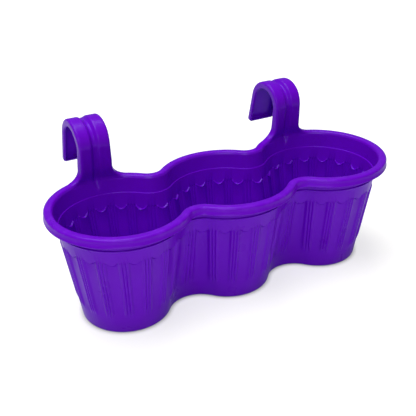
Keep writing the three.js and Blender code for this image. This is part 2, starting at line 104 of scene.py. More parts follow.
violetLook = {
    "colour": "#6C05CA",        # pigmented polypropylene, deep violet
    "deepColour": "#6403BE",    # where the pigment flowed thicker
    "wearColour": "#7A22D4",    # rubbed edges turn paler
    "wear": 0.5,                # how far the most rubbed places turn to that colour
    "roughness": 0.30,
    "glossSpread": 0.03,        # the roughness drifts by this much either way
    "shine": 0.12,              # the shader's specular level
    "mottle": (45.0, 3.0, 0.45),        # of each noise: its size in millimetres, detail and roughness
    "mottleRange": (0.3, 0.7),          # the gloss drifts while the mottle goes through these
    "scuff": (14.0, 5.0, 0.6),
    "scuffRange": (0.5, 0.75),          # rubbed places turn paler while the scuff goes through these
    "grain": (0.9, 2.0, 0.5),           # the mould's fine spark texture
    "grainDepth": 0.012,                # millimetres
    "grainStrength": 0.35,
}


def mouldedPlastic(name, look):
    material = bpy.data.materials.new(name)
    tree = emptyTree(material)
    place = addNode(tree, "ShaderNodeTexCoord").outputs["Object"]

    def noise(key):
        size, detail, roughness = look[key]
        sockets = {"Vector": place, "Scale": 1 / (size * mm), "Detail": detail, "Roughness": roughness}
        return addNode(tree, "ShaderNodeTexNoise", sockets).outputs["Fac"]

    mottle = noise("mottle")
    deep, plain, rubbed = (linearColour(look[key]) for key in ("deepColour", "colour", "wearColour"))
    mottled = addNode(tree, "ShaderNodeMix", {"Factor": mottle, 6: deep, 7: plain}, data_type="RGBA")
    edge = addNode(tree, "ShaderNodeAttribute", attribute_name="edge").outputs["Fac"]
    scuffed = remap(tree, noise("scuff"), *look["scuffRange"], 0.0, look["wear"], "LINEAR")
    colour = addNode(tree, "ShaderNodeMix", {
        "Factor": calc(tree, "MULTIPLY", edge, scuffed), 6: mottled.outputs[2], 7: rubbed}, data_type="RGBA")
    glossy, matt = look["roughness"] - look["glossSpread"], look["roughness"] + look["glossSpread"]
    gloss = remap(tree, mottle, *look["mottleRange"], glossy, matt, "LINEAR")
    bump = addNode(tree, "ShaderNodeBump", {
        "Height": noise("grain"), "Strength": look["grainStrength"], "Distance": look["grainDepth"] * mm})
    shader = addNode(tree, "ShaderNodeBsdfPrincipled", {
        "Base Color": colour.outputs[2], "Roughness": gloss, "Normal": bump.outputs["Normal"],
        "IOR": 1.49, "Specular IOR Level": look["shine"]})
    addNode(tree, "ShaderNodeOutputMaterial", {"Surface": shader.outputs["BSDF"]})
    return material


# Polypropylene coloured all through, from a steel mould with a fine spark finish: a deep violet with broad
# satin highlights, a faint drift of colour and gloss where the melt flowed, and paler rubbed edges.
violetPlastic = mouldedPlastic("violet injection moulded polypropylene", violetLook)

# The grids come from the same plastic, so they show the same violet and the same satin.
gridPlastic = mouldedPlastic("violet injection moulded polypropylene grid", violetLook)

# Soft vinyl, moulded matt: near black, with no clear highlight, and greyer where it is handled.
plugPlastic = mouldedPlastic("dark moulded soft vinyl", {
    **violetLook, "colour": "#2C2C30", "deepColour": "#242428", "wearColour": "#4A4A50", "roughness": 0.55})


# Planter body
print("planter body")

trough = {                      # millimetres
    "bowlSpacing": 188.0,
    "rimHeight": 187.0,
    "rimRadius": 114.0,
    "rimNeckFillet": 21.5,
    "endFullness": 0.98,        # the end bowls are a little flattened lengthwise
    "baseRadius": 71.5,
    "baseNeckWidth": 54.0,      # across the waist between two bowls
    "baseCorner": 3.0,
    "wall": 2.4,
    "floor": 2.6,
    "footHeight": 3.0,
    "footWidth": 5.0,
    "footEdge": 0.5,            # of its inner edge, rounded
    "footFillet": 0.6,          # between it and the underside
    "floorBorder": 0.8,         # a flat strip of the floor beside its rounded corner
    "drainHoleRadius": 9.0,
    "sharpAngle": 50.0,         # degrees: a sharper edge isn't shaded smooth
}
rim = {
    "lipWidth": 14.0,
    "lipThickness": 2.8,
    "innerRounding": 4.0,
    "outerRounding": 4.0,
    "skirtDepth": 13.6,
    "skirtThickness": 2.3,
    "skirtEdge": 0.3,           # of its inner edge, rounded
    "skirtFillet": 0.35,        # how far down the skirt the fillet under the lip reaches
    "lipFillet": 0.6,           # and how far along the lip, at the skirt and at the wall
    "bead": 0.9,                # the skirt's lower edge stands out by this much
    "beadReach": 2.4,           # and this far up from it
    "beadRoom": 0.2,            # at least this stays plain between it and the outer rounding
    "roundingShare": 0.6,       # of a small skirt's depth, the most that the outer rounding takes
    "collarStep": 1.5,
    "ledgeDrop": 28.0,
    "ridgeDrop": 29.0,
    "collarBead": 2.0,          # a half round under the skirt, this proud of the collar
    "collarBeadHalf": 1.1,
    "collarBeadDrop": 26.8,
    "collarBeadRoom": 3.0,      # from its middle up to the plain collar's first row
    "columns": 400,             # round the whole rim
}
flutes = {
    "count": 41,
    "start": 0.22,              # shift along the wall, in flutes
    "panelHalf": 0.25,          # half of a panel's share of the pitch
    "panelEdge": 0.035,
    "panelDepth": 1.8,
    "panelHollow": 0.35,        # the panel is dished: its edges are shallower by this share
    "panelBottom": 28.0,
    "panelFade": 15.0,
    "panelTop": 137.5,
    "panelStepHalf": 0.3,       # half the height of the step at the panel's top
    "scallopDrop": 5.0,
    "scallopReach": 4.0,        # only rows this near the panel's top bend down into the scallop
    "scallopGroove": 1.0,       # a fine groove under the scallop's edge, deeper than the panel by this
    "scallopGrooveHalf": 0.9,
    "ribCount": 3,              # fine ribs between two panels
    "ribHeight": 1.6,
    "ribFullness": 0.55,        # under 1 the ribs are broad, with narrow grooves between them
    "ribTop": 140.5,            # the ribs have run out here
    "ribFade": 5.2,
    "panelColumns": 10,
    "ribColumns": 8,            # to each rib
}
hooks = {
    "width": 54.0,
    "rise": 94.5,               # from the rim to the crown's top
    "span": 78.2,               # across the crown, outside
    "inset": 3.3,               # nearer the planter's middle than the bowl's own middle
    "setback": 3.8,             # the arm's foot stands this far in front of the bowl's back
    "lean": 5.2,                # and its upper end leans this much farther forward
    "pinch": 1.4,               # each side of the arm is in by this from the crown's side
    "pinchLow": 6.0,            # the pinch eases off from this far below the crown
    "pinchHigh": 30.0,          # to this far along it
    "fillet": 20.0,
    "tipDepth": 10.5,           # of the turned edge at the tip, which is the lip's width at the rim
    "tipLift": 8.0,             # the tip ends this far above the rim
    "tipCorner": 5.0,
    "flare": 15.0,              # degrees that the tip leg leans out
    "edgeBead": 0.8,            # the turned edge is this much deeper than the lip is thick
    "grooveHalf": 8.0,
    "grooveFlat": 1.2,          # half of its flat bottom
    "grooveDepth": 5.4,
    "grooveStart": 20.0,        # below the rim
    "grooveEnd": 30.0,          # past the crown's top
    "grooveFade": 14.0,
    "grooveFootShare": 0.4,     # its width at the very foot
    "columns": 31,              # across a hook
    "flangeColumns": 6,         # of these, on each side of the groove
    "rows": 24,                 # round its crown
}

spacing = trough["bowlSpacing"]
rimHeight = trough["rimHeight"]
collarRadius = trough["rimRadius"] - rim["lipWidth"]
wallTopRadius = collarRadius + trough["wall"] - rim["collarStep"]
wallTopFillet = trough["rimNeckFillet"] + trough["rimRadius"] - wallTopRadius
wallTaper = (wallTopRadius - trough["baseRadius"]) / rimHeight
floorTop = trough["footHeight"] + trough["floor"]
innerCollar = rim["collarStep"] - trough["wall"]
joinDrop = hooks["tipCorner"]   # the rim's section reaches this far down the skin
waist = trough["baseNeckWidth"] / 2
baseNeckFillet = (waist ** 2 + (spacing / 2) ** 2 - trough["baseRadius"] ** 2)
baseNeckFillet /= 2 * (trough["baseRadius"] - waist)
edgeMiddle = 0.3                # a small rounding's middle lies this share of its radius inside both faces


def wallLevel(height, outwards):
    share = height / rimHeight
    radius = trough["baseRadius"] + (wallTopRadius - trough["baseRadius"]) * share + outwards
    fillet = baseNeckFillet + (wallTopFillet - baseNeckFillet) * share - outwards
    return radius, fillet


def rimLevel(outwards):
    return collarRadius + outwards, trough["rimNeckFillet"] + rim["lipWidth"] - outwards


# The plan is nine arcs, anticlockwise from the right end: the bowls' outsides and the necks' fillets.
# A place on it is the arc's number plus the share of that arc.
def planArcs(turn):
    full = 2 * math.pi
    return [                    # centre in bowl spacings, side of a neck, first and last angle
        (1.0, 0, 0.0, math.pi - turn),
        (0.5, 1, -turn, turn - math.pi),
        (0.0, 0, turn, math.pi - turn),
        (-0.5, 1, -turn, turn - math.pi),
        (-1.0, 0, turn, full - turn),
        (-0.5, -1, math.pi - turn, turn),
        (0.0, 0, math.pi + turn, full - turn),
        (0.5, -1, math.pi - turn, turn),
        (1.0, 0, math.pi + turn, full),
    ]


def planPoints(place, level):
    # x and y of these places at a level, which is the bowls' radius and the necks' fillet there.
    place, radius, fillet = np.broadcast_arrays(np.asarray(place, float), *level)
    neckY = np.sqrt((radius + fillet) ** 2 - (spacing / 2) ** 2)
    number = np.minimum(place.astype(int), 8)
    share = place - number
    x = np.zeros(place.shape)
    y = np.zeros(place.shape)
    for arc, (centre, side, first, last) in enumerate(planArcs(np.arctan2(neckY, spacing / 2))):
        here = number == arc
        angle = first + (last - first) * share
        reach = fillet if side else radius
        x[here] = (centre * spacing + reach * np.cos(angle))[here]
        y[here] = (side * neckY + reach * np.sin(angle))[here]
    past = np.maximum(np.abs(x) - spacing, 0.0)
    x -= np.sign(x) * past * (1 - trough["endFullness"])
    return x, y


def evenPlaces(level, shares):
    # The places that lie at these shares of the plan's whole length.
    steps = 400                 # to an arc, short enough to measure it by
    places = np.linspace(0, 9, 9 * steps + 1)
    x, y = planPoints(places, level)
    lengths = np.concatenate([[0], np.cumsum(np.hypot(np.diff(x), np.diff(y)))])
    return np.interp(np.mod(shares, 1.0) * lengths[-1], lengths, places)


class Skin:
    # Vertices and faces of one closed surface, with named marks at each vertex for trees and materials.
    def __init__(self, numbers=("edge",), vectors=()):
        self.points = []
        self.faces = []
        self.vectors = vectors
        self.marks = {name: [] for name in (*numbers, *vectors)}
        self.count = 0

    def addPoints(self, points, **marks):
        points = np.asarray(points, float).reshape(-1, 3)
        size = len(points)
        self.points.append(points)
        for name, blocks in self.marks.items():
            shape = (size, 3) if name in self.vectors else (size,)
            blocks.append(np.broadcast_to(np.asarray(marks.get(name, 0.0), float), shape))
        first = self.count
        self.count += size
        return np.arange(first, first + size)

    def addLevel(self, x, y, height, **marks):
        return self.addPoints(np.stack([x, y, np.full(len(x), height)], 1), **marks)

    def addArc(self, radius, turns, height, centre=0.0, **marks):
        return self.addLevel(centre + radius * np.cos(turns), radius * np.sin(turns), height, **marks)

    def addStrip(self, first, second):
        first, second = np.asarray(first).tolist(), np.asarray(second).tolist()
        for four in zip(first[:-1], first[1:], second[1:], second[:-1]):
            corners = list(dict.fromkeys(four))
            if len(corners) > 2:
                self.faces.append(corners)

    def addRows(self, rows):
        for first, second in zip(rows[:-1], rows[1:]):
            self.addStrip(first, second)

    def addRings(self, rings):
        self.addRows([[*ring, ring[0]] for ring in rings])

    def addBand(self, first, second):
        # Joins two rings of places and ids, whose places needn't be the same.
        (placesA, idsA), (placesB, idsB) = first, second
        if len(placesA) == len(placesB) and np.allclose(placesA, placesB):
            self.addRings([idsA, idsB])
            return
        countA, countB = len(idsA), len(idsB)
        nextA, nextB = [*placesA[1:], placesA[0] + 9], [*placesB[1:], placesB[0] + 9]
        idsA, idsB = [*idsA.tolist(), int(idsA[0])], [*idsB.tolist(), int(idsB[0])]
        i = j = 0
        while i < countA or j < countB:
            if j >= countB or (i < countA and nextA[i] <= nextB[j]):
                self.faces.append([idsA[i], idsA[i + 1], idsB[j]])
                i += 1
            else:
                self.faces.append([idsA[i], idsB[j + 1], idsB[j]])
                j += 1

    def addCap(self, ring, holes, facesUp):
        points = np.concatenate(self.points)
        loops = [np.asarray(loop).tolist() for loop in (ring, *holes)]
        flat = [i for loop in loops for i in loop]
        outlines = [[Vector((points[i][0], points[i][1], 0.0)) for i in loop] for loop in loops]
        for corners in tessellate_polygon(outlines):
            a, b, c = (flat[k] for k in corners)
            across = np.cross(points[b] - points[a], points[c] - points[a])[2]
            self.faces.append([a, b, c] if (across > 0) == facesUp else [a, c, b])

    def toMesh(self, name, origin):
        points = np.concatenate(self.points) * mm + origin
        mesh = bpy.data.meshes.new(name)
        mesh.from_pydata(points.tolist(), [], self.faces)
        for markName, blocks in self.marks.items():
            values = np.concatenate(blocks).astype(np.float32)
            kind, field = ("FLOAT_VECTOR", "vector") if markName in self.vectors else ("FLOAT", "value")
            attribute = mesh.attributes.new(markName, kind, "POINT")
            attribute.data.foreach_set(field, values.ravel())
        mesh.validate()
        mesh.update()
        return mesh


def cutWall(shares):
    # Columns of the wall at these shares of every flute.
    flute = (np.arange(flutes["count"])[:, None] + np.array(sorted(shares))[None, :]).ravel()
    places = evenPlaces(wallLevel(flutes["panelTop"], 0), (flute + flutes["start"]) / flutes["count"])
    order = np.argsort(places)
    return {"place": places[order], "flute": flute[order]}


def fluteShares():
    # Where a flute is cut: over its panel, at the panel's edges, and over the ribs between two panels.
    half, edge = flutes["panelHalf"], flutes["panelEdge"]
    panel = np.linspace(-half, half, flutes["panelColumns"] + 1)
    edges = [side * (half + edge * k / 2) for side in (-1, 1) for k in (1, 2)]
    band = 1 - 2 * (half + edge)
    steps = flutes["ribColumns"] * flutes["ribCount"]
    ribs = [half + edge + band * k / steps for k in range(1, steps)]
    return [*panel, *edges, *ribs]


flutedColumns = cutWall(fluteShares())
plainColumns = cutWall(np.arange(8) / 8)


def wallRow(skin, height, outwards, fluted=0.0, edge=0.0, columns=plainColumns):
    # A ring of the wall. Its marks say which way is out and up the wall there, for the flutes' tree.
    place = columns["place"]
    x, y = planPoints(place, wallLevel(height, outwards))
    outX, outY = planPoints(place, wallLevel(height, outwards + 1))
    upX, upY = planPoints(place, wallLevel(height + 1, outwards))
    ids = skin.addLevel(
        x, y, height, flute=columns["flute"], wallHeight=height * mm, fluted=fluted, edge=edge,
        outward=np.stack([outX - x, outY - y, 0 * x], 1), upWall=np.stack([upX - x, upY - y, 0 * x + 1], 1))
    return place, ids


# A hook's own plan: x across it, and the way along it, which is the height up to the crown.
crownRadius = hooks["span"] / 2
crownHeight = rimHeight + hooks["rise"] - crownRadius
crownTurn = math.pi - math.radians(hooks["flare"])
crownEnd = crownHeight + crownRadius * crownTurn
tipLegTop = crownHeight + crownRadius * math.sin(crownTurn)
tipEnd = crownEnd + (tipLegTop - rimHeight - hooks["tipLift"]) / math.cos(math.radians(hooks["flare"]))
filletTop = rimHeight + hooks["fillet"]
grooveStop = crownHeight + crownRadius * math.pi / 2 + hooks["grooveEnd"]
footHalf = hooks["width"] / 2 + hooks["fillet"]


def bowlAngle(side, x):
    # For x from the hook's middle: x from the bowl's axis, the squash there and the angle round the bowl.
    fromBowl = x - side * hooks["inset"]
    squash = trough["endFullness"] if fromBowl * side > 0 else 1.0
    return fromBowl, squash, math.asin(min(1.0, max(-1.0, fromBowl / squash / collarRadius)))


def hookPoint(side, x, along, inwards, tapered):
    # A point of a hook, this deep behind the face that carries on from the bowl's inside. The hook's foot is
    # curved round the bowl, and it flattens out on the way to the crown.
    inset = wallTaper * max(0.0, rimHeight - along) if tapered else 0.0
    inset += hooks["setback"] * float(smoothStep(along, rimHeight - joinDrop, filletTop))
    turn = min(max(along - crownHeight, 0.0) / crownRadius, crownTurn)
    upArm = min(1.0, max(0.0, (along - rimHeight) / (crownHeight - rimHeight)))
    inset += hooks["lean"] * upArm * (1 + math.cos(turn)) / 2
    past = max(0.0, along - crownEnd)
    pathY = collarRadius - inset + crownRadius * (1 - math.cos(turn)) + past * math.sin(turn)
    pathZ = min(along, crownHeight) + crownRadius * math.sin(turn) + past * math.cos(turn)
    fromBowl, squash, angle = bowlAngle(side, x)
    sag = collarRadius * (1 - math.cos(angle))
    lean = math.atan2(math.sin(angle), squash * math.cos(angle))
    curved = 1 - float(smoothStep(along, filletTop, crownHeight + crownRadius / 2))
    depth = inwards * math.cos(lean * curved) - sag * curved
    return [
        side * spacing + fromBowl + inwards * math.sin(lean * curved),
        pathY + depth * math.cos(turn),
        pathZ - depth * math.sin(turn),
    ]


def grooveAt(x, along):
    # How deep a hook's lengthwise groove is there.
    rise = min(1.0, max(0.0, (along - rimHeight + hooks["grooveStart"]) / hooks["grooveFade"]))
    fall = 1 - float(smoothStep(along, grooveStop - hooks["grooveFade"], grooveStop))
    half = hooks["grooveHalf"] * (hooks["grooveFootShare"] + (1 - hooks["grooveFootShare"]) * rise)
    across = 1 - float(smoothStep(abs(x), hooks["grooveFlat"] * rise, half))
    return hooks["grooveDepth"] * across * rise * fall


def hookColumns(halfWidth):
    # Places across a hook: evenly over the groove, and stretched from there to the row's own width.
    groove, flange = hooks["grooveHalf"], hooks["flangeColumns"]
    middle = np.linspace(groove, -groove, hooks["columns"] - 2 * flange)
    outer = groove + (halfWidth - groove) * np.arange(flange, 0, -1) / flange
    return [*outer, *middle, *(-outer[::-1])]


def hookPlace(side, x):
    # The place on the plan where a hook's column x stands.
    angle = math.pi / 2 - bowlAngle(side, x)[2]
    level = rimLevel(0)
    turn = math.atan2(math.sqrt(sum(level) ** 2 - (spacing / 2) ** 2), spacing / 2)
    arc = 0 if side > 0 else 4
    first, last = planArcs(turn)[arc][2:]
    return arc + (angle - first) / (last - first)


def rimColumns():
    # Even columns round the rim, and in each hook's foot the hook's own. Each is a place, a side and x.
    zones = [(hookPlace(side, footHalf), hookPlace(side, -footHalf)) for side in (1, -1)]
    margin = 0.006              # of an arc, kept free beside a foot
    columns = []
    for place in evenPlaces(rimLevel(0), np.arange(rim["columns"]) / rim["columns"]):
        if all(place < low - margin or place > high + margin for low, high in zones):
            columns.append((float(place), 0, 0.0))
    for side in (1, -1):
        columns += [(hookPlace(side, x), side, x) for x in hookColumns(footHalf)]
    return sorted(columns)


aroundRim = rimColumns()
rimPlaces = np.array([column[0] for column in aroundRim])


def collarRow(skin, height, outwards):
    x, y = planPoints(rimPlaces, wallLevel(height, outwards))
    y = y + np.array([grooveAt(across, height) if side else 0.0 for _, side, across in aroundRim])
    return rimPlaces, skin.addLevel(x, y, height)


def outerWall(skin):
    # From under the floor round the foot ring, up the outside, over the ridge and the bead to the lip.
    corner, foot = trough["baseCorner"], -trough["baseCorner"] - trough["footWidth"]
    under, fillet, soft = trough["footHeight"], trough["footFillet"], trough["footEdge"]
    rows = [wallRow(skin, under, foot - 2 * fillet), wallRow(skin, under, foot - fillet)]
    rows += [wallRow(skin, under - fillet, foot), wallRow(skin, soft, foot)]
    rows.append(wallRow(skin, 0.0, foot + soft, edge=1.0))
    for share in np.arange(6) / 5:
        angle = share * math.pi / 2
        height, outwards = corner * (1 - math.cos(angle)), corner * (math.sin(angle) - 1)
        rows.append(wallRow(skin, height, outwards, edge=1 - share))
    rows += flutedRows(skin, 0.0)
    ridge = rimHeight - rim["ridgeDrop"]
    step = rim["collarStep"]
    for drop, outwards in ((2.2, 0.0), (1.6, 0.05), (1.1, 0.3)):        # the ridge's soft foot
        rows.append(wallRow(skin, ridge - drop, outwards))
    for drop, share in ((0.6, 0.8), (0.1, 0.97), (-0.6, 1.0)):          # and its edge
        rows.append(collarRow(skin, ridge - drop, share * step))
    beadMiddle = rimHeight - rim["collarBeadDrop"]
    for turn in np.linspace(0, math.pi, 8):
        height = beadMiddle - rim["collarBeadHalf"] * math.cos(turn)
        rows.append(collarRow(skin, height, step + rim["collarBead"] * math.sin(turn)))
    for height in np.linspace(beadMiddle + rim["collarBeadRoom"], rimHeight - joinDrop, 6):
        rows.append(collarRow(skin, height, step))
    return rows


def flutedRows(skin, outwards):
    # Rows over the flutes, bottom up. They lie close at the panels' tops, to keep the scallops crisp.
    bottom, fade, top = flutes["panelBottom"], flutes["panelFade"], flutes["panelTop"]
    heights = [(bottom + fade * k / 4, float(smoothStep(k, 0, 4))) for k in range(5)]
    heights += [(bottom + fade + (top - bottom - fade) * k / 3, 1.0) for k in range(1, 3)]
    heights += [(top + lift, 1.0) for lift in (-2.2, -1.5, -0.9, -0.4, 0.0, 0.4, 3.0)]
    return [wallRow(skin, height, outwards, fluted, columns=flutedColumns) for height, fluted in heights]


def innerWall(skin):
    # From the lip down to the floor. Rows close to the ledge keep its highlight to a thin line.
    rows = []
    ledge = rimHeight - rim["ledgeDrop"]
    wall = trough["wall"]
    join = rimHeight - joinDrop
    for share in np.linspace(0, 0.94, 9):
        rows.append(collarRow(skin, join + share * (ledge - join), innerCollar))
    for up, inwards in ((0.6, 0.0), (0.15, 0.02), (0.02, 0.15)):
        rows.append(collarRow(skin, ledge + up, innerCollar - inwards))
    for down, outwards in ((0.0, 0.5), (0.05, 0.12), (0.2, 0.0), (0.7, 0.0), (1.6, 0.0)):
        rows.append(wallRow(skin, ledge - down, outwards - wall))
    rows += flutedRows(skin, -wall)[::-1]
    corner = trough["baseCorner"] - wall
    for angle in np.linspace(math.pi / 2, 0, 5):
        height, outwards = floorTop + corner * (1 - math.cos(angle)), -wall - corner * (1 - math.sin(angle))
        rows.append(wallRow(skin, height, outwards))
    rows.append(wallRow(skin, floorTop, -wall - corner - trough["floorBorder"]))
    return rows


def rimSection(width, skirt):
    # From the inner face over the lip, down the skirt's outside and up its inside to the outer face. A point
    # is how far outwards and up it lies from the inner face's top, whether it is on the wall, and how worn.
    section = [(0.0, -joinDrop, True, 0.0)]
    radius = rim["innerRounding"]
    for k in range(7):
        angle = k / 6 * math.pi / 2
        section.append((radius * (1 - math.cos(angle)), radius * (math.sin(angle) - 1), k == 0, k / 6))
    radius = min(rim["outerRounding"], rim["roundingShare"] * skirt)
    for k in range(6):
        angle = k / 5 * math.pi / 2
        section.append((width - radius * (1 - math.sin(angle)), -radius * (1 - math.cos(angle)), False, 1.0))
    reach = min(rim["beadReach"], skirt - radius - rim["beadRoom"])
    bead = rim["bead"] * reach / rim["beadReach"]
    beadShape = ((0.0, 1.0, 0.3), (0.75, 0.75, 0.6), (1.0, 0.5, 1.0), (0.75, 0.22, 1.0), (0.0, 0.02, 1.0))
    for out, up, worn in beadShape:
        section.append((width + bead * out, reach * up - skirt, False, worn))
    back, under, wall = width - rim["skirtThickness"], rim["lipThickness"], trough["wall"]
    soft, fillet = rim["skirtEdge"], rim["lipFillet"]
    section += [(back + soft, -skirt, False, 0.5), (back, soft - skirt, False, 0.0)]
    section += [(back, -under - rim["skirtFillet"], False, 0.0), (back - fillet, -under, False, 0.0)]
    section += [(wall + fillet, -under, False, 0.0), (wall, -under - fillet, True, 0.0)]
    section.append((wall, -joinDrop, True, 0.0))
    return section


def plainStations(skin, ids, outerIds):
    # One station of the rim's section for each column outside the hooks, all made level by level.
    section = rimSection(rim["lipWidth"], rim["skirtDepth"])
    levels = [ids]
    for inwards, up, onFace, worn in section[1:-1]:
        level = wallLevel(rimHeight + up, innerCollar + inwards) if onFace else rimLevel(inwards)
        levels.append(skin.addLevel(*planPoints(rimPlaces, level), rimHeight + up, edge=worn))
    levels.append(outerIds)
    stations = np.stack(levels, 1)
    inside = np.array([bool(side) and abs(x) < footHalf - 1e-6 for _, side, x in aroundRim])
    return stations, inside


def sideRules(way):
    # The stations up one side of a hook. Each is the skirt's depth there, and a rule that gives x and the way
    # along of a point that lies this far outside the edge.
    thin = rim["lipThickness"] + hooks["edgeBead"]
    radius = hooks["fillet"]
    rules = []
    for angle in np.linspace(0, math.pi / 2, 15)[1:]:
        skirt = rim["skirtDepth"] + (thin - rim["skirtDepth"]) * math.sin(angle)
        rules.append((skirt, lambda up, angle=angle: (
            way * (footHalf - (radius + hooks["pinch"] - up) * math.sin(angle)),
            filletTop - (radius - up) * math.cos(angle))))
    # Up the arm, closer together near the crown, then round the crown and down the tip leg.
    arm = filletTop + (crownHeight - filletTop) * np.array([0.3, 0.6, 0.85, 0.96, 1.0])
    crown = np.linspace(crownHeight, crownEnd, hooks["rows"] + 1)[1:]
    tipLeg = np.linspace(crownEnd, tipEnd - hooks["tipCorner"], 7)[1:]
    for along in [*arm, crownHeight + 1.5, *crown, *tipLeg]:
        eased = float(smoothStep(along, crownHeight - hooks["pinchLow"], crownHeight + hooks["pinchHigh"]))
        half = hooks["width"] / 2 - hooks["pinch"] * (1 - eased)
        rules.append((thin, lambda up, along=along, half=half: (way * (half + up), along)))
    return rules


def cornerRules(way):
    # The same round one corner of a hook's tip.
    thin = rim["lipThickness"] + hooks["edgeBead"]
    corner = hooks["tipCorner"]
    rules = []
    for angle in np.linspace(0, math.pi / 2, 6)[1:]:
        rules.append((thin, lambda up, angle=angle: (
            way * (hooks["width"] / 2 - corner + (corner + up) * math.cos(angle)),
            tipEnd - corner + (corner + up) * math.sin(angle))))
    return rules


def hookStation(skin, side, rule, innerId=None, outerId=None):
    # The rim's section at one place on a hook's edge. Its end points may be ones that the hook's faces have.
    skirt, placeOf = rule
    along = placeOf(0)[1]
    share = min(1.0, max(0.0, (along - filletTop) / (tipEnd - filletTop)))
    width = rim["lipWidth"] + (hooks["tipDepth"] - rim["lipWidth"]) * share
    section = rimSection(width, skirt)
    ids = []
    for number, (inwards, up, onFace, worn) in enumerate(section):
        if number == 0 and innerId is not None:
            ids.append(innerId)
        elif number == len(section) - 1 and outerId is not None:
            ids.append(outerId)
        else:
            x, reach = placeOf(up)
            ids.append(skin.addPoints(hookPoint(side, x, reach, inwards, onFace), edge=worn)[0])
    return np.array(ids)


def addHook(skin, side, innerFoot, outerFoot, footStations):
    # Both faces go up from the rim to the tip. The rim's section runs up one side, over the tip and down.
    rightRules, leftRules = sideRules(1), sideRules(-1)
    right = [hookStation(skin, side, rule) for rule in rightRules]
    left = [hookStation(skin, side, rule) for rule in leftRules]
    inner, outer = [innerFoot], [outerFoot]
    for rule, rightIds, leftIds in zip(rightRules, right, left):
        halfWidth, along = rule[1](-joinDrop)
        across = hookColumns(halfWidth)[1:-1]
        for rows, depth, end in ((inner, 0.0, 0), (outer, trough["wall"], -1)):
            points = [hookPoint(side, x, along, depth + grooveAt(x, along), True) for x in across]
            rows.append(np.array([rightIds[end], *skin.addPoints(points), leftIds[end]]))
    skin.addRows(inner[::-1])
    skin.addRows(outer)
    tip = []
    for number, x in enumerate(hookColumns(hooks["width"] / 2 - joinDrop)[1:-1], 1):
        rule = (rim["lipThickness"] + hooks["edgeBead"], lambda up, x=x: (x, tipEnd + up))
        tip.append(hookStation(skin, side, rule, inner[-1][number], outer[-1][number]))
    rightCorner = [hookStation(skin, side, rule, inner[-1][0], outer[-1][0]) for rule in cornerRules(1)]
    leftCorner = [hookStation(skin, side, rule, inner[-1][-1], outer[-1][-1]) for rule in cornerRules(-1)]
    over = [*right, *rightCorner, *tip, *leftCorner[::-1], *left[::-1]]
    skin.addRows([footStations[0], *over, footStations[1]])


def planterBody():
    skin = Skin(numbers=("edge", "flute", "wallHeight", "fluted"), vectors=("outward", "upWall"))
    outer = outerWall(skin)
    inner = innerWall(skin)
    for rows in (outer, inner):
        for first, second in zip(rows[:-1], rows[1:]):
            skin.addBand(first, second)
    stations, inside = plainStations(skin, inner[0][1], outer[-1][1])
    count = len(stations)
    for i in range(count):
        j = (i + 1) % count
        if not inside[i] and not inside[j]:
            skin.addStrip(stations[i], stations[j])
    for side in (1, -1):
        foot = [i for i, column in enumerate(aroundRim) if column[1] == side]
        ends = [stations[foot[0]], stations[foot[-1]]]
        addHook(skin, side, inner[0][1][foot], outer[-1][1][foot], ends)
    addFloor(skin, outer[0][1], inner[-1][1])
    return skin


def addFloor(skin, underside, floor):
    steps = 48                  # round a drain hole
    angles = np.arange(steps) / steps * 2 * math.pi
    radius = trough["drainHoleRadius"]
    low, high = trough["footHeight"], floorTop
    # How much wider than the hole, and how high: rounded above, and with a small chamfer below.
    bore = ((0.6, high), (0.2, high - 0.15), (0.0, high - 0.6), (0.0, low + 0.5), (0.4, low))
    tops, bottoms = [], []
    for bowl in (-1, 0, 1):
        rings = []
        for growth, height in bore:
            worn = float(growth > 0)
            rings.append(skin.addArc(radius + growth, angles, height, bowl * spacing, edge=worn))
        skin.addRings(rings)
        tops.append(rings[0])
        bottoms.append(rings[-1])
    skin.addCap(floor, tops, True)
    skin.addCap(underside, bottoms, False)


def newTree(title, inputs):
    # A tree that takes a mesh, a material and these inputs, listed by kind, and the sockets that bring them.
    tree = bpy.data.node_groups.new(title, "GeometryNodeTree")
    for kind, names in {"Geometry": ["Geometry"], **inputs, "Material": ["Material"]}.items():
        for name in names:
            tree.interface.new_socket(name, in_out="INPUT", socket_type="NodeSocket" + kind)
    tree.interface.new_socket("Geometry", in_out="OUTPUT", socket_type="NodeSocketGeometry")
    return tree, addNode(tree, "NodeGroupInput").outputs


def finishTree(tree, geometry, material):
    smooth = addNode(tree, "GeometryNodeSetShadeSmooth", {"Geometry": geometry, "Shade Smooth": True})
    whole = addNode(tree, "GeometryNodeRealizeInstances", {"Geometry": smooth.outputs["Geometry"]})
    painted = addNode(tree, "GeometryNodeSetMaterial", {
        "Geometry": whole.outputs["Geometry"], "Material": material})
    addNode(tree, "NodeGroupOutput", {"Geometry": painted.outputs["Geometry"]})
    return tree


